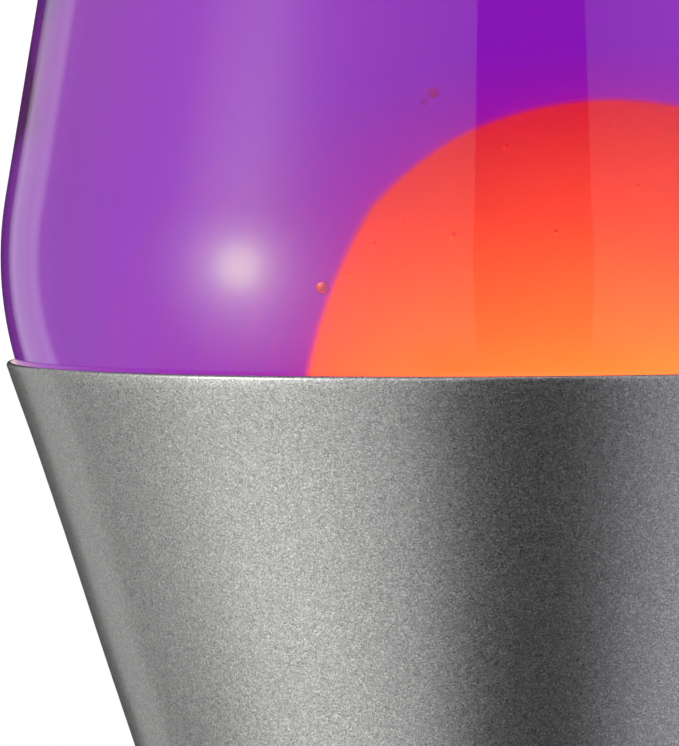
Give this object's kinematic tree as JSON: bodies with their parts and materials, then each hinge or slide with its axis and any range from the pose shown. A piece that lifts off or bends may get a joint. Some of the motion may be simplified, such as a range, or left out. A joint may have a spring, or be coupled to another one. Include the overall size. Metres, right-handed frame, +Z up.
{
  "type": "lava lamp",
  "caption": "Lava lamp: tapered glass globe of purple liquid and orange wax on an hourglass silver metal base with a bulb under it and a metal cap on top.",
  "frame": {"origin": "on the table, under the middle of the lamp, at the middle of the bounding box's base", "axes": "+Z up along the lamp's axis, -Y towards the viewer of the front, +Y towards the cord's hole at the back"},
  "size_m": [0.0968, 0.0974, 0.3683],
  "materials": {
    "silver_paint": "silver-grey metallic paint with a fine sparkle, satin",
    "fibreboard": "black pressed fibreboard, matt",
    "rubber": "black rubber, matt",
    "phenolic": "black moulded phenolic, semi-matt",
    "brass": "rolled brass, satin",
    "bulb_glass": "clear thin glass",
    "black_glass": "black vitreous insulator, glossy",
    "solder": "dull tin-lead solder",
    "lead_wire": "drawn nickel wire",
    "tungsten": "dark coiled tungsten",
    "globe_glass": "clear blown glass, polished",
    "tinplate": "bright tinplate",
    "liner": "soft pale sealing compound",
    "purple_liquid": "clear purple-dyed liquid",
    "wax": "soft translucent orange wax, smooth",
    "spring_steel": "drawn spring steel"
  },
  "bodies": {
    "base": {"foot_shell": "silver_paint", "cup_shell": "silver_paint", "base_plate": "fibreboard", "rubber_foot_1": "rubber", "rubber_foot_2": "rubber", "rubber_foot_3": "rubber", "rubber_foot_4": "rubber", "cord_grommet": "rubber", "holder_body": "phenolic", "holder_ring": "phenolic", "holder_screw_shell": "brass", "holder_contact": "brass", "terminal_screw_left": "brass", "terminal_screw_right": "brass"},
    "bulb": {"bulb_glass": "bulb_glass", "bulb_screw_shell": "brass", "bulb_insulator": "black_glass", "bulb_tip_contact": "solder", "bulb_stem": "bulb_glass", "bulb_lead_left": "lead_wire", "bulb_lead_right": "lead_wire", "bulb_filament": "tungsten"},
    "globe": {"globe_bottle": "globe_glass", "crown_cap": "tinplate", "crown_liner": "liner", "lamp_liquid": "purple_liquid", "wax_dome": "wax", "heating_coil": "spring_steel"},
    "cap": {"top_cap": "silver_paint"},
    "wax_lower": {"wax_blob_lower": "wax"},
    "wax_upper": {"wax_blob_upper": "wax"}
  },
  "joints": [
    {"name": "globe_lift", "type": "slide", "parent": "base", "child": "globe", "axis": [0, 0, 1], "range_m": [0, 0.06]},
    {"name": "cap_lift", "type": "slide", "parent": "globe", "child": "cap", "axis": [0, 0, 1], "range_m": [0, 0.04]},
    {"name": "bulb_unscrew", "type": "hinge", "parent": "base", "child": "bulb", "pos_m": [0, 0, 0.09], "axis": [0, 0, 1], "range_deg": [0, 1440]},
    {"name": "wax_lower_rise", "type": "slide", "parent": "globe", "child": "wax_lower", "axis": [0, 0, 1], "range_m": [-0.022, 0.022]},
    {"name": "wax_upper_rise", "type": "slide", "parent": "globe", "child": "wax_upper", "axis": [0, 0, 1], "range_m": [-0.012, 0.02]}
  ]
}
